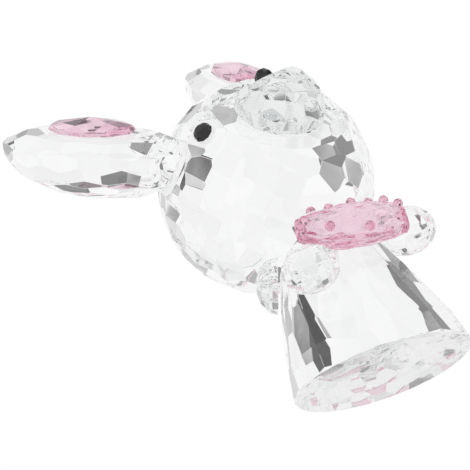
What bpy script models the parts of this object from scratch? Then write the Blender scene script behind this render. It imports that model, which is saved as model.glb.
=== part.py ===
"""Crystal rabbit figurine: clear faceted crystals with pink and black stones, glued flat to flat.

Metres, +Z up. The rabbit looks along -Y, its left side is +X, and the origin is the middle of
the flat base that it stands on. Every crystal is a block of stock ground down by flat cuts.
"""

import math

import bmesh
import bpy
from mathutils import Matrix, Vector

MM = 0.001
COLLECTION = "crystal_rabbit"

# Points closer than this are one point
WELD = 0.001 * MM

# Glue line between two ground flats
GLUE_GAP = 0.3 * MM

# Raw blocks are this many times the size of the stone ground from them
STOCK_MARGIN = 1.5

# Roughness of a polished facet
POLISH = 0.03

# Dress: a bell that leans back towards the neck
DRESS_HEIGHT = 22.0 * MM
HEM_RADIUS = 13.9 * MM
HIP_HEIGHT = 7.8 * MM
HIP_RADIUS = 12.2 * MM
NECK_RADIUS = 7.3 * MM
DRESS_LEAN = 3.3 * MM
HEM_BEVEL = 0.15 * MM
FRONT_PANELS = 5
PANEL_ANGLE = 26.0
PANEL_BREAK = 4.5 * MM
SIDE_FACET_ROWS = 5
SIDE_FACET_START = 0.2 * MM
HEM_FACETS = 24

# Head: a ball, turned, tipped back and tilted to the rabbit's right
HEAD_RADIUS = 16.5 * MM
HEAD_LEAN_SIDE = -1.8 * MM
HEAD_LEAN_BACK = 6.9 * MM
HEAD_TURN = -5.0
HEAD_PITCH = -43.0
HEAD_TILT = -21.0
HEAD_FACET = 16.0
NECK_FLAT_DEPTH = 0.5 * MM

# Muzzle and nose, in the head's own directions
MUZZLE_RADIUS = 6.75 * MM
MUZZLE_DROP = 11.4
MUZZLE_FLAT_DEPTH = 3.6 * MM
MUZZLE_RISE = 0.6 * MM
MUZZLE_FACET = 27.0
NOSE_RISE = 36.0
NOSE_SEAT = 5.1 * MM
NOSE_DIAMETER = 2.85 * MM
NOSE_HEIGHT = 1.4 * MM

# Eyes
EYE_SIDE_ANGLE = 45.0
EYE_RISE = 8.0
EYE_DIAMETER = 3.0 * MM
EYE_HEIGHT = 1.25 * MM
EYE_FLAT_DEPTH = 0.3 * MM
BUTTON_FACETS = [(10, 0.25, 0.0), (10, 0.7, 0.5), (1, 1.0, 0.0)]

# Ears: long stones, flat in front, with a keel behind
EAR_LENGTH = 29.5 * MM
EAR_WIDTH = 11.7 * MM
EAR_FRONT_DEPTH = 3.9 * MM
EAR_BACK_DEPTH = 7.3 * MM
EAR_FLAT_DEPTH = 0.7 * MM
EAR_BUTT = 3.2 * MM
RIGHT_EAR_SPREAD = 15.5
LEFT_EAR_SPREAD = 19.5
EAR_FORWARD = -7.0
EAR_SEAT_SIDE = 50.4
EAR_SEAT_FORWARD = 35.0
EAR_SEAT_DEPTH = 0.9 * MM
EAR_ADVANCE = 0.5 * MM
# Rings of facets: how many, their height on a unit ball, and their turn in facets
EAR_FRONT_FACETS = [(14, 0.0, 0.5), (14, 0.5, 0.0), (8, 0.85, 0.5)]
EAR_BACK_FACETS = [(14, -0.35, 0.0), (14, -0.72, 0.5), (6, -0.95, 0.5)]

# Pink stone in the front of each ear
EAR_GEM_LENGTH = 14.4 * MM
EAR_GEM_WIDTH = 6.8 * MM
EAR_GEM_HEIGHT = 1.5 * MM
EAR_GEM_PLACE = 13.6 * MM
EAR_GEM_FACETS = [(10, 0.12, 0.5), (8, 0.72, 0.0)]

# Shoulder stones on the sides of the dress
SLEEVE_DIAMETER = 8.6 * MM
SLEEVE_THICKNESS = 3.2 * MM
SLEEVE_ANGLE = 113.5
SLEEVE_DROP = 3.4 * MM
SLEEVE_HEAD_FLAT = 0.3 * MM
SLEEVE_FACETS = [(14, 0.2, 0.0), (14, 0.6, 0.5), (7, 0.88, 0.0), (1, 1.0, 0.0)]

# Arms: egg beads
ARM_LENGTH = 8.6 * MM
ARM_DIAMETER = 7.1 * MM
ARM_FACET = 26.0
RIGHT_ARM_ANGLE = 48.0
LEFT_ARM_ANGLE = 55.0
RIGHT_ARM_YAW = 31.0
LEFT_ARM_YAW = 141.0
RIGHT_ARM_DROP = 7.8 * MM
LEFT_ARM_DROP = 3.7 * MM
ARM_SEAT_DEPTH = 0.6 * MM
ARM_FLAT_DEPTH = 0.2 * MM
GRIP_DEPTH = 0.4 * MM

# Posy held across the front, and the round stones on it
POSY_LENGTH = 17.4 * MM
POSY_WIDTH = 6.8 * MM
POSY_DEPTH = 5.0 * MM
POSY_SIDE = -1.1 * MM
POSY_RISE = 1.1 * MM
POSY_FLAT_DEPTH = 0.6 * MM
POSY_END_CUT = 3.0 * MM
POSY_FACET = 22.0
STONE_DIAMETER = 1.5 * MM
STONE_HEIGHT = 0.8 * MM
STONE_FLAT_DEPTH = 0.25 * MM
# Each stone's angle along the posy to the rabbit's left, and its angle up round it from the front
STONE_ANGLES = [
    (-32.2, 75.0),
    (5.1, 88.0),
    (32.9, 80.0),
    (41.8, 38.0),
    (37.5, -12.0),
    (-25.8, -10.0),
    (6.8, -25.0),
    (-12.6, 100.0),
    (-45.9, 30.0),
    (20.9, 98.0),
]


def direction(side, forward, up):
    """Unit vector from the rabbit's left, front and up parts."""
    return Vector((side, -forward, up)).normalized()


def aim(side_angle, rise):
    """Unit vector at an angle to the rabbit's left of straight ahead, and an angle above level."""
    side = math.radians(side_angle)
    up = math.radians(rise)
    return direction(math.sin(side) * math.cos(up), math.cos(side) * math.cos(up), math.sin(up))


def basis(x_axis, z_axis):
    """Rotation whose Z is z_axis and whose X is as near x_axis as it can be."""
    z = z_axis.normalized()
    y = z.cross(x_axis).normalized()
    x = y.cross(z)
    return Matrix((x, y, z)).transposed()


def stock(centre, half_size):
    """A cube of stock around a point."""
    bm = bmesh.new()
    bmesh.ops.create_cube(bm, size=2.0 * half_size, matrix=Matrix.Translation(centre))
    return bm


def grind(bm, point, normal):
    """Grind away what lies beyond a plane and leave a flat there."""
    everything = bm.verts[:] + bm.edges[:] + bm.faces[:]
    bmesh.ops.bisect_plane(
        bm, geom=everything, dist=WELD, plane_co=point, plane_no=normal, clear_outer=True
    )
    bmesh.ops.remove_doubles(bm, verts=bm.verts[:], dist=WELD)
    rim = [edge for edge in bm.edges if edge.is_boundary]
    if rim:
        bmesh.ops.holes_fill(bm, edges=rim)


def ring(count, height, phase=0.0):
    """Points evenly round a unit ball at one height, as directions."""
    level = math.sqrt(max(0.0, 1.0 - height * height))
    turns = [2.0 * math.pi * (step + phase) / count for step in range(count)]
    return [Vector((level * math.cos(turn), level * math.sin(turn), height)) for turn in turns]


def ball_directions(facet_angle):
    """Directions spread over a ball in level rings, each turned half a facet from the last."""
    rows = max(3, round(180.0 / facet_angle))
    found = []
    for row in range(rows):
        latitude = math.radians(-90.0 + 180.0 * (row + 0.5) / rows)
        count = max(4, round(360.0 * math.cos(latitude) / facet_angle))
        found += ring(count, math.sin(latitude), 0.5 * (row % 2))
    return found


def facet_directions(rings):
    """Directions of all the facets of a named cut."""
    return [way for count, height, phase in rings for way in ring(count, height, phase)]


def grind_round(bm, centre, rotation, radii, directions):
    """Grind a block to an ellipsoid of flat facets, one facet for each direction."""
    for way in directions:
        touch = Vector(radius * part for radius, part in zip(radii, way))
        normal = Vector(part / radius for radius, part in zip(radii, way)).normalized()
        grind(bm, centre + rotation @ touch, rotation @ normal)


def material(name, colour, alpha=1.0):
    """A polished stone of one colour."""
    mat = bpy.data.materials.get(name) or bpy.data.materials.new(name)
    mat.use_nodes = True
    shader = mat.node_tree.nodes["Principled BSDF"]
    shader.inputs["Base Color"].default_value = (*colour, 1.0)
    shader.inputs["Roughness"].default_value = POLISH
    shader.inputs["Metallic"].default_value = 0.0
    shader.inputs["Alpha"].default_value = alpha
    mat.diffuse_color = (*colour, alpha)
    return mat


def finish(name, bm, mat):
    """Turn a ground block into a named object in the figurine's collection."""
    bmesh.ops.recalc_face_normals(bm, faces=bm.faces[:])
    mesh = bpy.data.meshes.new(name)
    bm.to_mesh(mesh)
    bm.free()
    mesh.materials.append(mat)
    obj = bpy.data.objects.new(name, mesh)
    bpy.data.collections[COLLECTION].objects.link(obj)
    return obj


def clear():
    return material("clear_crystal", (0.86, 0.87, 0.88), 0.35)


def pink():
    return material("pink_crystal", (0.86, 0.52, 0.66))


def rose():
    return material("rose_crystal", (0.8, 0.42, 0.58))


def jet():
    return material("black_stone", (0.012, 0.012, 0.014))


# Dress


def bell_curve():
    """Coefficients of the bell's radius over height: hem, hip and neck lie on one parabola."""
    hip_drop = (HIP_RADIUS - HEM_RADIUS) / HIP_HEIGHT
    neck_drop = (NECK_RADIUS - HEM_RADIUS) / DRESS_HEIGHT
    curve = (neck_drop - hip_drop) / (DRESS_HEIGHT - HIP_HEIGHT)
    return hip_drop - curve * HIP_HEIGHT, curve


def bell_radius(height):
    slope, curve = bell_curve()
    return HEM_RADIUS + slope * height + curve * height * height


def dress_axis(height):
    """Middle of the bell at a height."""
    return Vector((0.0, DRESS_LEAN * height / DRESS_HEIGHT, height))


def dress_plane(angle, height, slope=None):
    """Touching plane of the bell at an angle from the front: its point and its normal."""
    steep, curve = bell_curve()
    if slope is None:
        slope = steep + 2.0 * curve * height
    turn = math.radians(angle)
    outward = Vector((math.sin(turn), -math.cos(turn), 0.0))
    rise = DRESS_LEAN / DRESS_HEIGHT * math.cos(turn) - slope
    point = dress_axis(height) + bell_radius(height) * outward
    return point, (outward + Vector((0.0, 0.0, rise))).normalized()


def head_centre():
    """The ball stands on the neck flat, off the dress's axis to the side and back."""
    top = dress_axis(DRESS_HEIGHT)
    reach = HEAD_RADIUS - NECK_FLAT_DEPTH + GLUE_GAP
    rise = math.sqrt(reach ** 2 - HEAD_LEAN_SIDE ** 2 - HEAD_LEAN_BACK ** 2)
    return top + Vector((HEAD_LEAN_SIDE, HEAD_LEAN_BACK, rise))


def neck_normal():
    return (head_centre() - dress_axis(DRESS_HEIGHT)).normalized()


def front_angles():
    middle = (FRONT_PANELS - 1) / 2.0
    return [(panel - middle) * PANEL_ANGLE for panel in range(FRONT_PANELS)]


def side_angles(odd):
    """Angles of the sides' and back's facets, from the last front panel round to the next."""
    edge = FRONT_PANELS * PANEL_ANGLE / 2.0
    span = 360.0 - 2.0 * edge
    count = round(span / PANEL_ANGLE)
    pitch = span / count
    if odd:
        return [edge + pitch * (step + 1.0) for step in range(count - 1)]
    return [edge + pitch * (step + 0.5) for step in range(count)]


def build_dress():
    """A bell with tall flat panels in front and rows of kite facets at the sides and back."""
    half_block = max(HEM_RADIUS, DRESS_HEIGHT) * STOCK_MARGIN
    bm = stock(Vector((0.0, 0.0, half_block)), half_block)
    break_radius = bell_radius(PANEL_BREAK)
    lower = (break_radius - HEM_RADIUS) / PANEL_BREAK
    upper = (NECK_RADIUS - break_radius) / (DRESS_HEIGHT - PANEL_BREAK)
    for angle in front_angles():
        grind(bm, *dress_plane(angle, PANEL_BREAK, lower))
        grind(bm, *dress_plane(angle, PANEL_BREAK, upper))
    for row in range(SIDE_FACET_ROWS):
        height = SIDE_FACET_START + DRESS_HEIGHT * row / SIDE_FACET_ROWS
        for angle in side_angles(odd=row % 2 == 1):
            grind(bm, *dress_plane(angle, height))
    for step in range(HEM_FACETS):
        angle = 360.0 * (step + 0.5) / HEM_FACETS
        turn = math.radians(angle)
        outward = Vector((math.sin(turn), -math.cos(turn), 0.0))
        grind(bm, outward * (HEM_RADIUS - HEM_BEVEL), outward - Vector((0.0, 0.0, 1.0)))
    grind(bm, dress_axis(DRESS_HEIGHT), neck_normal())
    for side in (-1, 1):
        point, normal = sleeve_seat(side)
        grind(bm, point, normal)
        point, normal = arm_seat(side)
        grind(bm, point, normal)
    point, normal = posy_seat()
    grind(bm, point, normal)
    return finish("dress", bm, clear())


def sleeve_seat(side):
    return dress_plane(side * SLEEVE_ANGLE, DRESS_HEIGHT - SLEEVE_DROP)


def sleeve_stop(side):
    """Plane of the flat on the head that a shoulder stone's rim comes up to."""
    point, normal = sleeve_seat(side)
    way = (point - head_centre()).normalized()
    return head_centre() + way * (HEAD_RADIUS - SLEEVE_HEAD_FLAT), way


def arm_seat(side):
    """The bell's touching plane at an arm's place, sunk until it cuts the panels there."""
    angle = LEFT_ARM_ANGLE if side > 0 else -RIGHT_ARM_ANGLE
    drop = LEFT_ARM_DROP if side > 0 else RIGHT_ARM_DROP
    point, normal = dress_plane(angle, DRESS_HEIGHT - drop)
    return point - normal * ARM_SEAT_DEPTH, normal


def posy_seat():
    return dress_plane(0.0, DRESS_HEIGHT - POSY_WIDTH / 2.0)


# Head


def head_rotation():
    turn = Matrix.Rotation(math.radians(HEAD_TURN), 3, "Z")
    pitch = Matrix.Rotation(math.radians(HEAD_PITCH), 3, "X")
    tilt = Matrix.Rotation(math.radians(HEAD_TILT), 3, "Y")
    return turn @ pitch @ tilt


def on_head(vector):
    """A place given in the head's own directions, in the figurine's frame."""
    return head_centre() + head_rotation() @ vector


def muzzle_way():
    return aim(0.0, -MUZZLE_DROP)


def muzzle_place(out):
    """A place on the muzzle's middle line, that far out from the flat on the head."""
    return on_head(muzzle_way() * (HEAD_RADIUS - MUZZLE_FLAT_DEPTH + out))


def eye_way(side):
    return aim(side * EYE_SIDE_ANGLE, EYE_RISE)


def ear_seat_way(side):
    out = math.radians(EAR_SEAT_SIDE)
    front = math.radians(EAR_SEAT_FORWARD)
    return direction(side * math.sin(out), math.cos(out) * math.sin(front), math.cos(out) * math.cos(front))


def build_head():
    """A ball of small facets with a flat for the neck, muzzle, eyes and ears."""
    centre = head_centre()
    turn = head_rotation()
    bm = stock(centre, HEAD_RADIUS * STOCK_MARGIN)
    grind_round(bm, centre, turn, [HEAD_RADIUS] * 3, ball_directions(HEAD_FACET))
    grind(bm, centre - neck_normal() * (HEAD_RADIUS - NECK_FLAT_DEPTH), -neck_normal())
    grind(bm, muzzle_place(0.0), turn @ muzzle_way())
    for side in (-1, 1):
        way = eye_way(side)
        grind(bm, on_head(way * (HEAD_RADIUS - EYE_FLAT_DEPTH)), turn @ way)
        way = ear_seat_way(side)
        grind(bm, on_head(way * (HEAD_RADIUS - EAR_SEAT_DEPTH)), turn @ way)
        grind(bm, *sleeve_stop(side))
    return finish("head", bm, clear())


def nose_way():
    return aim(0.0, NOSE_RISE)


def build_muzzle():
    """Half a ball, flat behind, with a flat for the nose."""
    turn = head_rotation()
    centre = muzzle_place(MUZZLE_RISE)
    bm = stock(centre, MUZZLE_RADIUS * STOCK_MARGIN)
    facing = turn @ basis(Vector((1.0, 0.0, 0.0)), muzzle_way())
    grind_round(bm, centre, facing, [MUZZLE_RADIUS] * 3, ball_directions(MUZZLE_FACET))
    grind(bm, muzzle_place(GLUE_GAP), turn @ -muzzle_way())
    grind(bm, centre + turn @ nose_way() * NOSE_SEAT, turn @ nose_way())
    return finish("muzzle", bm, clear())


def build_button(name, mat, seat, way, diameter, height):
    """A small domed stone with a flat back: a crown of facets round a table."""
    facing = basis(Vector((1.0, 0.0, 0.0)), way)
    bm = stock(seat, diameter)
    radii = [diameter / 2.0, diameter / 2.0, height]
    grind_round(bm, seat, facing, radii, facet_directions(BUTTON_FACETS))
    grind(bm, seat, -way)
    return finish(name, bm, mat)


def build_nose():
    way = head_rotation() @ nose_way()
    seat = muzzle_place(MUZZLE_RISE) + way * (NOSE_SEAT + GLUE_GAP)
    return build_button("nose", jet(), seat, way, NOSE_DIAMETER, NOSE_HEIGHT)


def build_eye(side):
    way = eye_way(side)
    seat = on_head(way * (HEAD_RADIUS - EYE_FLAT_DEPTH + GLUE_GAP))
    name = "eye_left" if side > 0 else "eye_right"
    return build_button(name, jet(), seat, head_rotation() @ way, EYE_DIAMETER, EYE_HEIGHT)


# Ears


def ear_axis(side):
    spread = math.radians(LEFT_EAR_SPREAD if side > 0 else RIGHT_EAR_SPREAD)
    front = math.radians(EAR_FORWARD)
    return direction(side * math.sin(spread), math.sin(front), math.cos(spread))


def ear_turn(side):
    """Ear directions: X across, Y along from the head to the tip, Z out of the front."""
    along = ear_axis(side)
    front = direction(0.0, 1.0, 0.0)
    across = along.cross(front).normalized()
    front = across.cross(along)
    return Matrix((across, along, front)).transposed()


def ear_butt(side):
    """A point of the ear's flat end, on its seat on the head."""
    return ear_seat_way(side) * (HEAD_RADIUS - EAR_SEAT_DEPTH + GLUE_GAP)


def ear_place(side, along, front):
    """A place on the ear's middle line, that far from the head and that far to its front."""
    offset = ear_turn(side) @ Vector((0.0, along, EAR_ADVANCE + front))
    return on_head(ear_butt(side) + offset)


def build_ear(side):
    """A long pointed stone: a table and crown in front, a girdle and a deep pavilion behind."""
    turn = head_rotation() @ ear_turn(side)
    middle = ear_place(side, (EAR_LENGTH - EAR_BUTT) / 2.0, 0.0)
    half_length = (EAR_LENGTH + EAR_BUTT) / 2.0
    front = [EAR_WIDTH / 2.0, half_length, EAR_FRONT_DEPTH]
    back = [EAR_WIDTH / 2.0, half_length, EAR_BACK_DEPTH]
    bm = stock(middle, half_length * STOCK_MARGIN)
    grind_round(bm, middle, turn, front, facet_directions(EAR_FRONT_FACETS))
    grind_round(bm, middle, turn, back, facet_directions(EAR_BACK_FACETS))
    table = EAR_FRONT_DEPTH - EAR_FLAT_DEPTH
    grind(bm, ear_place(side, 0.0, table), turn.col[2])
    grind(bm, on_head(ear_butt(side)), head_rotation() @ -ear_seat_way(side))
    return finish("ear_left" if side > 0 else "ear_right", bm, clear())


def build_ear_gem(side):
    """A thin pointed pink stone on the ear's table."""
    turn = head_rotation() @ ear_turn(side)
    table = EAR_FRONT_DEPTH - EAR_FLAT_DEPTH + GLUE_GAP
    seat = ear_place(side, EAR_GEM_PLACE, table)
    bm = stock(seat, EAR_GEM_LENGTH)
    radii = [EAR_GEM_WIDTH / 2.0, EAR_GEM_LENGTH / 2.0, EAR_GEM_HEIGHT]
    grind_round(bm, seat, turn, radii, facet_directions(EAR_GEM_FACETS))
    grind(bm, seat, -turn.col[2])
    return finish("ear_gem_left" if side > 0 else "ear_gem_right", bm, pink())


# Shoulders and arms


def build_sleeve(side):
    """A round flat-backed stone on the side of the dress."""
    point, normal = sleeve_seat(side)
    seat = point + normal * GLUE_GAP
    facing = basis(Vector((0.0, 0.0, 1.0)), normal)
    bm = stock(seat, SLEEVE_DIAMETER)
    radii = [SLEEVE_DIAMETER / 2.0, SLEEVE_DIAMETER / 2.0, SLEEVE_THICKNESS]
    grind_round(bm, seat, facing, radii, facet_directions(SLEEVE_FACETS))
    grind(bm, seat, -normal)
    point, normal = sleeve_stop(side)
    grind(bm, point + normal * GLUE_GAP, -normal)
    return finish("sleeve_left" if side > 0 else "sleeve_right", bm, clear())


def reach(radii, facing, normal):
    """How far an ellipsoid's surface goes out from its middle in one direction."""
    return Vector(radius * part for radius, part in zip(radii, facing.transposed() @ normal)).length


def arm_radii():
    return [ARM_DIAMETER / 2.0, ARM_DIAMETER / 2.0, ARM_LENGTH / 2.0]


def arm_turn(side):
    """The bead's long way: the right arm lies along the dress, the left arm sticks out of it."""
    yaw = math.radians(LEFT_ARM_YAW if side > 0 else RIGHT_ARM_YAW)
    along = direction(-side * math.cos(yaw), math.sin(yaw), 0.0)
    return basis(Vector((0.0, 0.0, 1.0)), along)


def arm_centre(side):
    point, normal = arm_seat(side)
    out = reach(arm_radii(), arm_turn(side), normal)
    return point + normal * (GLUE_GAP + out - ARM_FLAT_DEPTH)


def grip(side):
    """Plane of the flat between an arm and the posy's end that it holds."""
    centre = arm_centre(side)
    inset = (POSY_LENGTH - POSY_WIDTH) / 2.0
    held = posy_centre() + Vector((side * inset, 0.0, 0.0))
    normal = (held - centre).normalized()
    out = reach(arm_radii(), arm_turn(side), normal)
    return centre + normal * (out - GRIP_DEPTH), normal


def build_arm(side):
    """An egg bead of small facets, ground flat against the dress and under the posy."""
    point, normal = arm_seat(side)
    centre = arm_centre(side)
    facing = arm_turn(side)
    radii = arm_radii()
    bm = stock(centre, ARM_LENGTH)
    grind_round(bm, centre, facing, radii, ball_directions(ARM_FACET))
    grind(bm, point + normal * GLUE_GAP, -normal)
    grind(bm, *grip(side))
    return finish("arm_left" if side > 0 else "arm_right", bm, clear())


# Posy


def posy_centre():
    point, normal = posy_seat()
    across = Vector((POSY_SIDE, 0.0, POSY_RISE))
    return point + across + normal * (GLUE_GAP + POSY_DEPTH / 2.0 - POSY_FLAT_DEPTH)


def posy_turn():
    """Posy directions: X to the front, Y up, Z along it to the rabbit's right."""
    return basis(Vector((0.0, -1.0, 0.0)), Vector((-1.0, 0.0, 0.0)))


def posy_radii():
    return [POSY_DEPTH / 2.0, POSY_WIDTH / 2.0, POSY_LENGTH / 2.0 + POSY_END_CUT]


def stone_flat(angles):
    """Flat on the posy under one round stone."""
    along, round_it = (math.radians(angle) for angle in angles)
    across = math.cos(along)
    way = Vector((across * math.cos(round_it), across * math.sin(round_it), -math.sin(along)))
    touch = Vector(radius * part for radius, part in zip(posy_radii(), way))
    slope = Vector(part / radius for radius, part in zip(posy_radii(), way)).normalized()
    normal = posy_turn() @ slope
    return posy_centre() + posy_turn() @ touch - normal * STONE_FLAT_DEPTH, normal


def build_posy():
    """A long rounded pink stone of many small facets, flat where it meets its neighbours."""
    point, normal = posy_seat()
    centre = posy_centre()
    bm = stock(centre, POSY_LENGTH)
    grind_round(bm, centre, posy_turn(), posy_radii(), ball_directions(POSY_FACET))
    grind(bm, point + normal * GLUE_GAP, -normal)
    for side in (-1, 1):
        end = Vector((side * POSY_LENGTH / 2.0, 0.0, 0.0))
        grind(bm, centre + end, end.normalized())
        point, normal = grip(side)
        grind(bm, point + normal * GLUE_GAP, -normal)
    for angles in STONE_ANGLES:
        grind(bm, *stone_flat(angles))
    return finish("posy", bm, pink())


def build_posy_stone(number, angles):
    flat, normal = stone_flat(angles)
    seat = flat + normal * GLUE_GAP
    name = f"posy_stone_{number}"
    return build_button(name, rose(), seat, normal, STONE_DIAMETER, STONE_HEIGHT)


def main():
    for obj in list(bpy.data.objects):
        bpy.data.objects.remove(obj, do_unlink=True)
    group = bpy.data.collections.new(COLLECTION)
    bpy.context.scene.collection.children.link(group)
    build_dress()
    build_head()
    build_muzzle()
    build_nose()
    build_posy()
    for number, angles in enumerate(STONE_ANGLES, start=1):
        build_posy_stone(number, angles)
    for side in (-1, 1):
        build_eye(side)
        build_ear(side)
        build_ear_gem(side)
        build_sleeve(side)
        build_arm(side)


main()
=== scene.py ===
"""A crystal rabbit figurine, photographed on white: clear crystals with pink and black stones."""

import math

import bpy
from mathutils import Matrix, Vector


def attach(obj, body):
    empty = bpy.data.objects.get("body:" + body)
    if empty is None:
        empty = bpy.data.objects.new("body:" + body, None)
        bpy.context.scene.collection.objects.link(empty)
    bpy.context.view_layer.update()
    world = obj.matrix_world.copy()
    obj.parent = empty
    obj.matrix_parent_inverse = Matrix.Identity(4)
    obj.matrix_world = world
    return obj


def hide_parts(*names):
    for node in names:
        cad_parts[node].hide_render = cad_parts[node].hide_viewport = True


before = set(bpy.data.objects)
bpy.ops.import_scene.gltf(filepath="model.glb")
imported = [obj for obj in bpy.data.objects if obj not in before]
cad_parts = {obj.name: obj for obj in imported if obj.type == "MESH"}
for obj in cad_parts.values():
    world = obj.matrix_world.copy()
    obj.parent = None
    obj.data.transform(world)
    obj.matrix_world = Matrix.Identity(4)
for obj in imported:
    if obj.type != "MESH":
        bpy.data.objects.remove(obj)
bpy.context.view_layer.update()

MM = 0.001


# Camera. It looks up at the figurine from its right front, lower than the base it stands on,
# and is rolled, so the rabbit leans back in the picture. A long lens, 450 mm away.

VIEW_AZIMUTH = -30.0
VIEW_ELEVATION = -19.4
VIEW_ROLL = 19.9
VIEW_DISTANCE = 450 * MM
VIEW_CENTRE = Vector((-15.82, 0.15, 25.36)) * MM
LENS = 233.4
SENSOR = 36.0
CLIP_NEAR = 50 * MM
CLIP_FAR = 10.0


def way_to(azimuth, elevation):
    """Unit vector towards a place seen from the figurine, by its azimuth and elevation in degrees."""
    turn, rise = math.radians(azimuth), math.radians(elevation)
    level = math.cos(rise)
    return Vector((math.sin(turn) * level, -math.cos(turn) * level, math.sin(rise)))


backwards = way_to(VIEW_AZIMUTH, VIEW_ELEVATION)
sideways = Vector((-backwards.y, backwards.x, 0.0)).normalized()
upright = backwards.cross(sideways)
facing = Matrix((sideways, upright, backwards)).transposed()
rolled = facing @ Matrix.Rotation(math.radians(-VIEW_ROLL), 3, "Z")

camera = bpy.data.objects.new("camera", bpy.data.cameras.new("camera"))
bpy.context.scene.collection.objects.link(camera)
camera.matrix_world = Matrix.Translation(VIEW_CENTRE + VIEW_DISTANCE * backwards) @ rolled.to_4x4()
camera.data.lens = LENS
camera.data.sensor_width = SENSOR
camera.data.clip_start = CLIP_NEAR
camera.data.clip_end = CLIP_FAR
bpy.context.scene.camera = camera
bpy.context.scene.view_settings.view_transform = "Standard"

# Light that is caught inside cut crystal is turned back many times before it gets out.
BOUNCES = 48
for kind in ("max", "transmission", "glossy", "transparent_max"):
    setattr(bpy.context.scene.cycles, f"{kind}_bounces", BOUNCES)


# Studio. Clear crystal is photographed against a bright backdrop, inside a white tent, with soft
# dark cards round it that draw its facets. It stands on a plain pale table.

TENT_WHITE = "#ffffff"
# How many patches the tent's cloth has from its middle to its wall, and how bright the dimmest is
CLOTH_PATCHES = 5.0
CLOTH_DIMMEST = 0.92
# Blender's noise seldom leaves this range
NOISE_LOW = 0.35
NOISE_HIGH = 0.65
# Azimuth and elevation of a card's middle as the camera's are given, its radius and the width
# of its soft edge, all in degrees, and how much of the tent's light it holds back
CARDS = [
    (-172, -5, 6, 3, 0.85),
    (-174, 16, 9, 4, 0.8),
    (119, -1, 6, 2.5, 0.95),
    (160, 46, 6, 3, 0.8),
    (119, 63, 7, 3, 0.85),
    (148, -26, 8, 6, 0.5),
    (-165, 62, 8, 5, 0.7),
    (-155, -28, 13, 6, 0.8),
    (-130, -20, 8, 6, 0.75),
    (91, -7, 5, 5, 0.55),
    (61, 32, 10, 5, 0.75),
    (60, -32, 8, 6, 0.7),
    (-72, 62, 10, 6, 0.7),
    (-99, 7, 9, 6, 0.75),
    (0, 87, 10, 6, 0.75),
]
TABLE_SIZE = 3.0
TABLE_WHITE = "#f4f4f3"
TABLE_SHADE = "#efefee"
TABLE_PATCH = 60 * MM
# The sockets of a Mix node that mixes colours
MIX_FIRST = 6
MIX_SECOND = 7
MIX_RESULT = 2


def colour(hex_code):
    """An sRGB hex colour as linear red, green, blue and alpha."""
    parts = [int(hex_code[i:i + 2], 16) / 255 for i in (1, 3, 5)]
    return [p / 12.92 if p <= 0.04045 else ((p + 0.055) / 1.055) ** 2.4 for p in parts] + [1.0]


def node(tree, kind, inputs=None, **settings):
    """Add one node: its settings by name, its sockets from values or from other nodes' sockets."""
    made = tree.nodes.new(kind)
    for name, value in settings.items():
        setattr(made, name, value)
    for name, value in (inputs or {}).items():
        if isinstance(value, bpy.types.NodeSocket):
            tree.links.new(value, made.inputs[name])
        else:
            made.inputs[name].default_value = value
    return made


world = bpy.data.worlds.new("light_tent")
world.use_nodes = True
bpy.context.scene.world = world
tent = world.node_tree
tent.nodes.clear()
looking = node(tent, "ShaderNodeTexCoord").outputs["Generated"]
# The cloth is not lit quite evenly: broad soft patches of it are a little dimmer
cloth = node(tent, "ShaderNodeTexNoise", {"Vector": looking, "Scale": CLOTH_PATCHES, "Detail": 2.0})
light = node(tent, "ShaderNodeMapRange", {
    "Value": cloth.outputs["Fac"], "From Min": NOISE_LOW, "From Max": NOISE_HIGH,
    "To Min": CLOTH_DIMMEST, "To Max": 1.0,
}).outputs["Result"]
for azimuth, elevation, radius, soft, dark in CARDS:
    towards = node(tent, "ShaderNodeVectorMath", {
        0: looking, 1: way_to(azimuth, elevation),
    }, operation="DOT_PRODUCT")
    angle = node(tent, "ShaderNodeMath", {0: towards.outputs["Value"]}, operation="ARCCOSINE")
    passed = node(tent, "ShaderNodeMapRange", {
        "Value": angle.outputs["Value"],
        "From Min": math.radians(radius), "From Max": math.radians(radius + soft),
        "To Min": 1.0 - dark, "To Max": 1.0,
    }, interpolation_type="SMOOTHSTEP")
    light = node(tent, "ShaderNodeMath", {
        0: light, 1: passed.outputs["Result"],
    }, operation="MULTIPLY").outputs["Value"]
backdrop = node(tent, "ShaderNodeBackground", {"Color": colour(TENT_WHITE), "Strength": 1.0})
around = node(tent, "ShaderNodeBackground", {"Color": light, "Strength": 1.0})
both = node(tent, "ShaderNodeMixShader", {
    0: node(tent, "ShaderNodeLightPath").outputs["Is Camera Ray"],
    1: around.outputs[0], 2: backdrop.outputs[0],
})
node(tent, "ShaderNodeOutputWorld", {"Surface": both.outputs[0]})

bpy.ops.object.select_all(action="DESELECT")
bpy.ops.mesh.primitive_plane_add(size=TABLE_SIZE, location=(0.0, 0.0, 0.0))
table = bpy.context.object
table.name = "table_top"
# Matt white acrylic sheet, faintly uneven. It is open from below, where the camera is, and to
# light that comes through the crystal, which shows the tent beyond the table
acrylic = bpy.data.materials.new("acrylic_sheet_matt_white")
acrylic.use_nodes = True
tree = acrylic.node_tree
tree.nodes.clear()
place = node(tree, "ShaderNodeTexCoord").outputs["Object"]
cloud = node(tree, "ShaderNodeTexNoise", {"Vector": place, "Scale": 1.0 / TABLE_PATCH})
tone = node(tree, "ShaderNodeMix", {
    "Factor": cloud.outputs["Fac"],
    MIX_FIRST: colour(TABLE_WHITE), MIX_SECOND: colour(TABLE_SHADE),
}, data_type="RGBA")
sheet = node(tree, "ShaderNodeBsdfDiffuse", {"Color": tone.outputs[MIX_RESULT]})
open_to = node(tree, "ShaderNodeNewGeometry").outputs["Backfacing"]
ray = node(tree, "ShaderNodeLightPath")
for kind in ("Is Transmission Ray", "Is Glossy Ray"):
    open_to = node(tree, "ShaderNodeMath", {
        0: open_to, 1: ray.outputs[kind],
    }, operation="MAXIMUM").outputs["Value"]
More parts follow.
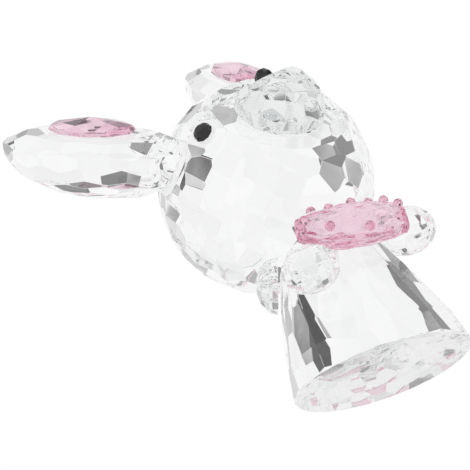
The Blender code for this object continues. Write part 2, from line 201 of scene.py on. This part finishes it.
one_sided = node(tree, "ShaderNodeMixShader", {
    0: open_to, 1: sheet.outputs[0], 2: node(tree, "ShaderNodeBsdfTransparent").outputs[0],
})
node(tree, "ShaderNodeOutputMaterial", {"Surface": one_sided.outputs[0]})
table.data.materials.append(acrylic)


# Dress. One clear lead crystal, the shape of a bell: tall flat panels in front, kite facets at
# the sides and back, and a wide flat base. It is cut on a wheel and polished to a high gloss,
# and the other crystals are glued to flats ground on it.

# Some edges of the CAD mesh are too short to bevel, so their ends are merged
WELD = 0.07 * MM
COPLANAR = math.radians(0.5)
# The polishing leaves each edge a hair's breadth blunt
EDGE_BEVEL = 0.03 * MM
LEAD_CRYSTAL_INDEX = 1.56
CLEAR = "#fcfcfc"
CLEAR_SHADE = "#f6f7f7"
CLEAR_PATCH = 4 * MM
# Polish: clean facets with a few duller places, where the noise is high
DULL_FROM = 0.45
DULL_TO = 0.8
DULLEST = 0.03
# The facets are a little wavy, as felt-polished glass is
WAVE_LENGTH = 5 * MM
WAVE_HEIGHT = 0.08 * MM
WAVE_STRENGTH = 0.25
# Name of the mark on the faces that are glued to another stone
GLUED = "glued"


def cut_stone(name, tint, shade, patch, inner=None, density=0.0):
    """Cut and polished glass: faintly uneven in tint and polish, and deeper where it is thick."""
    made = bpy.data.materials.new(name)
    made.use_nodes = True
    tree = made.node_tree
    tree.nodes.clear()
    place = node(tree, "ShaderNodeTexCoord").outputs["Object"]
    cloud = node(tree, "ShaderNodeTexNoise", {"Vector": place, "Scale": 1.0 / patch, "Detail": 3.0})
    tone = node(tree, "ShaderNodeMix", {
        "Factor": cloud.outputs["Fac"], MIX_FIRST: colour(tint), MIX_SECOND: colour(shade),
    }, data_type="RGBA")
    polish = node(tree, "ShaderNodeMapRange", {
        "Value": cloud.outputs["Fac"], "From Min": DULL_FROM, "From Max": DULL_TO,
        "To Min": 0.0, "To Max": DULLEST,
    })
    wave = node(tree, "ShaderNodeTexNoise", {
        "Vector": place, "Scale": 1.0 / WAVE_LENGTH, "Detail": 1.0,
    })
    wavy = node(tree, "ShaderNodeBump", {
        "Height": wave.outputs["Fac"], "Strength": WAVE_STRENGTH, "Distance": WAVE_HEIGHT,
    })
    stone = node(tree, "ShaderNodeBsdfPrincipled", {
        "Base Color": tone.outputs[MIX_RESULT], "Roughness": polish.outputs["Result"],
        "IOR": LEAD_CRYSTAL_INDEX, "Transmission Weight": 1.0, "Normal": wavy.outputs["Normal"],
    })
    # Crystal throws hardly a shadow, and where it is glued light goes straight on
    through = node(tree, "ShaderNodeBsdfTransparent", {"Color": tone.outputs[MIX_RESULT]})
    straight = node(tree, "ShaderNodeMath", {
        0: node(tree, "ShaderNodeLightPath").outputs["Is Shadow Ray"],
        1: node(tree, "ShaderNodeAttribute", attribute_name=GLUED).outputs["Fac"],
    }, operation="MAXIMUM")
    surface = node(tree, "ShaderNodeMixShader", {
        0: straight.outputs["Value"], 1: stone.outputs[0], 2: through.outputs[0],
    })
    out = node(tree, "ShaderNodeOutputMaterial", {"Surface": surface.outputs[0]})
    if density:
        deep = node(tree, "ShaderNodeVolumeAbsorption", {"Color": colour(inner), "Density": density})
        tree.links.new(deep.outputs[0], out.inputs["Volume"])
    return made


clear_crystal = cut_stone("lead_crystal_clear_wheel_polished", CLEAR, CLEAR_SHADE, CLEAR_PATCH)


def whole_stone(name, mat, point=0.0):
    """The crystal that stands for a node: its whole facets, with hair-fine bevelled edges.

    Point, if given, is how far each facet rises to a point of its own.
    """
    bpy.ops.object.select_all(action="DESELECT")
    stone = bpy.data.objects.new(f"{name}_crystal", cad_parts[name].data.copy())
    bpy.context.scene.collection.objects.link(stone)
    stone.data.materials.clear()
    stone.data.materials.append(mat)
    stone.select_set(True)
    bpy.context.view_layer.objects.active = stone
    bpy.ops.object.mode_set(mode="EDIT")
    bpy.ops.mesh.select_mode(type="FACE")
    bpy.ops.mesh.select_all(action="SELECT")
    bpy.ops.mesh.remove_doubles(threshold=WELD)
    bpy.ops.mesh.dissolve_limited(angle_limit=COPLANAR)
    if point:
        bpy.ops.mesh.poke(offset=point, center_mode="MEDIAN")
        bpy.ops.mesh.select_all(action="SELECT")
    bpy.ops.mesh.bevel(offset=EDGE_BEVEL, segments=1, affect="EDGES", clamp_overlap=True)
    bpy.ops.mesh.select_all(action="SELECT")
    bpy.ops.mesh.normals_make_consistent(inside=False)
    bpy.ops.object.mode_set(mode="OBJECT")
    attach(stone, "root")
    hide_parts(name)
    return stone


whole_stone("dress", clear_crystal)


# Head. A ball of the same clear crystal, cut in flat facets all over, with a wide flat in front
# that the muzzle is glued to, and small flats for the eyes, the ears and the neck.

head = whole_stone("head", clear_crystal)


# Muzzle. A smaller clear ball with a flat back, glued to the head's front flat. The clear glue
# has the crystal's own index, so light passes from one stone to the other as if through one.

GLUE_LINE = 0.3 * MM
GLUE_TOLERANCE = 0.02 * MM
# The glue stops this far short of the flat's edge
GLUE_INSET = 0.12 * MM
# Cosine of the most by which two flats that meet may be out of parallel, under a degree
PARALLEL = 0.9999


def choose(stone, wanted):
    """Select just the faces that a test wants."""
    for vert in stone.data.vertices:
        vert.select = False
    for edge in stone.data.edges:
        edge.select = False
    for face in stone.data.polygons:
        face.select = wanted(face)


def glue_flat(name, other):
    """Middle and direction of the facet of one stone that lies a glue line from the other's."""
    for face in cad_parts[name].data.polygons:
        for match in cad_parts[other].data.polygons:
            apart = (match.center - face.center).dot(face.normal)
            if face.normal.dot(match.normal) < -PARALLEL and abs(apart - GLUE_LINE) < GLUE_TOLERANCE:
                return face.center.copy(), face.normal.copy()
    raise ValueError(f"{name} and {other} have no flats that meet")


def glue_stones(small, small_node, large, large_node):
    """Glue two stones flat to flat: the glued patch is the same on both, inside the smaller flat."""
    for stone in (small, large):
        stone.data.attributes.new(GLUED, "FLOAT", "FACE")
    place, normal = glue_flat(small_node, large_node)

    def on_flat(face, middle):
        in_plane = abs((face.center - middle).dot(normal)) < GLUE_TOLERANCE
        return in_plane and abs(face.normal.dot(normal)) > PARALLEL

    bpy.ops.object.select_all(action="DESELECT")
    small.select_set(True)
    bpy.context.view_layer.objects.active = small
    choose(small, lambda face: on_flat(face, place))
    bpy.ops.object.mode_set(mode="EDIT")
    bpy.ops.mesh.inset(thickness=GLUE_INSET)
    bpy.ops.object.mode_set(mode="OBJECT")
    marks = small.data.attributes[GLUED].data
    for face in small.data.polygons:
        marks[face.index].value = float(face.select)

    patch = bpy.data.objects.new("glued_patch", small.data.copy())
    bpy.context.scene.collection.objects.link(patch)
    small.select_set(False)
    patch.select_set(True)
    bpy.context.view_layer.objects.active = patch
    bpy.ops.object.mode_set(mode="EDIT")
    bpy.ops.mesh.select_all(action="INVERT")
    bpy.ops.mesh.delete(type="FACE")
    bpy.ops.mesh.select_all(action="SELECT")
    bpy.ops.transform.translate(value=GLUE_LINE * normal)
    bpy.ops.mesh.flip_normals()
    bpy.ops.object.mode_set(mode="OBJECT")

    opposite = place + GLUE_LINE * normal
    choose(large, lambda face: on_flat(face, opposite))
    large.select_set(True)
    patch.select_set(False)
    bpy.context.view_layer.objects.active = large
    bpy.ops.object.mode_set(mode="EDIT")
    bpy.ops.mesh.delete(type="ONLY_FACE")
    bpy.ops.object.mode_set(mode="OBJECT")
    patch.select_set(True)
    bpy.ops.object.join()
    bpy.ops.object.mode_set(mode="EDIT")
    bpy.ops.mesh.select_mode(type="EDGE")
    bpy.ops.mesh.select_all(action="DESELECT")
    bpy.ops.mesh.select_non_manifold(
        extend=False, use_wire=False, use_boundary=True,
        use_multi_face=False, use_non_contiguous=False, use_verts=False,
    )
    bpy.ops.mesh.fill(use_beauty=True)
    bpy.ops.mesh.select_mode(type="FACE")
    bpy.ops.mesh.select_all(action="SELECT")
    bpy.ops.mesh.normals_make_consistent(inside=False)
    bpy.ops.object.mode_set(mode="OBJECT")


muzzle = whole_stone("muzzle", clear_crystal)
glue_stones(muzzle, "muzzle", head, "head")


# Nose and eyes. Flat-backed buttons of black glass, pressed and then cut with a ring of facets
# round a small table, and glued to flats on the muzzle and the head.

BLACK = "#060607"
BLACK_SHADE = "#121214"
BLACK_PATCH = 1.2 * MM
BLACK_GLOSSIEST = 0.03
BLACK_DULLEST = 0.12
BLACK_GLASS_INDEX = 1.52

black_glass = bpy.data.materials.new("black_glass_pressed_and_cut")
black_glass.use_nodes = True
tree = black_glass.node_tree
shader = tree.nodes["Principled BSDF"]
place = node(tree, "ShaderNodeTexCoord").outputs["Object"]
# Near-black, its tint and gloss a little uneven from place to place
cloud = node(tree, "ShaderNodeTexNoise", {
    "Vector": place, "Scale": 1.0 / BLACK_PATCH, "Detail": 3.0,
})
tone = node(tree, "ShaderNodeMix", {
    "Factor": cloud.outputs["Fac"], MIX_FIRST: colour(BLACK), MIX_SECOND: colour(BLACK_SHADE),
}, data_type="RGBA")
gloss = node(tree, "ShaderNodeMapRange", {
    "Value": cloud.outputs["Fac"], "To Min": BLACK_GLOSSIEST, "To Max": BLACK_DULLEST,
})
tree.links.new(tone.outputs[MIX_RESULT], shader.inputs["Base Color"])
tree.links.new(gloss.outputs["Result"], shader.inputs["Roughness"])
shader.inputs["IOR"].default_value = BLACK_GLASS_INDEX

for name in ("nose", "eye_right", "eye_left"):
    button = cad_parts[name]
    button.data.materials.clear()
    button.data.materials.append(black_glass)


# Ears. Two long pointed clear crystals, flat in front with a keel behind, each glued by its cut
# end to a flat on the head. A thin pointed pink crystal is glued to the front of each.

PINK = "#fef3f8"
PINK_SHADE = "#f3d3e2"
PINK_PATCH = 1.5 * MM
PINK_INSIDE = "#e46aac"
PINK_DENSITY = 34.0

pink_crystal = cut_stone(
    "lead_crystal_pink_wheel_polished", PINK, PINK_SHADE, PINK_PATCH, PINK_INSIDE, PINK_DENSITY,
)

for side in ("right", "left"):
    whole_stone(f"ear_{side}", clear_crystal)
    whole_stone(f"ear_gem_{side}", pink_crystal)


# Shoulders. A round, flat-backed, domed clear crystal on each side of the dress, cut in rings of
# facets, its rim ground to clear the head.

for side in ("right", "left"):
    whole_stone(f"sleeve_{side}", clear_crystal)


# Arms. Egg-shaped clear beads cut in small facets. The right one lies along the dress, the left
# one sticks out of it, and each has flats where it meets the dress and the posy.

for side in ("right", "left"):
    whole_stone(f"arm_{side}", clear_crystal)


# Posy. One long pink crystal held across the front. Each of its facets is ground again into a low
# star of three-sided ones, which break up its pink.

POSY_POINT = 0.2 * MM

whole_stone("posy", pink_crystal, POSY_POINT)


# Posy stones. Ten small round rose-pink crystals, each a crown of facets round a table, glued
# on little flats ground on the posy.

ROSE = "#f9dbe6"
ROSE_SHADE = "#f3c4d6"
ROSE_PATCH = 0.8 * MM
ROSE_INSIDE = "#c23a80"
ROSE_DENSITY = 140.0
STONE_COUNT = 10

rose_crystal = cut_stone(
    "lead_crystal_rose_machine_cut", ROSE, ROSE_SHADE, ROSE_PATCH, ROSE_INSIDE, ROSE_DENSITY,
)

for number in range(1, STONE_COUNT + 1):
    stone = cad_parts[f"posy_stone_{number}"]
    stone.data.materials.clear()
    stone.data.materials.append(rose_crystal)
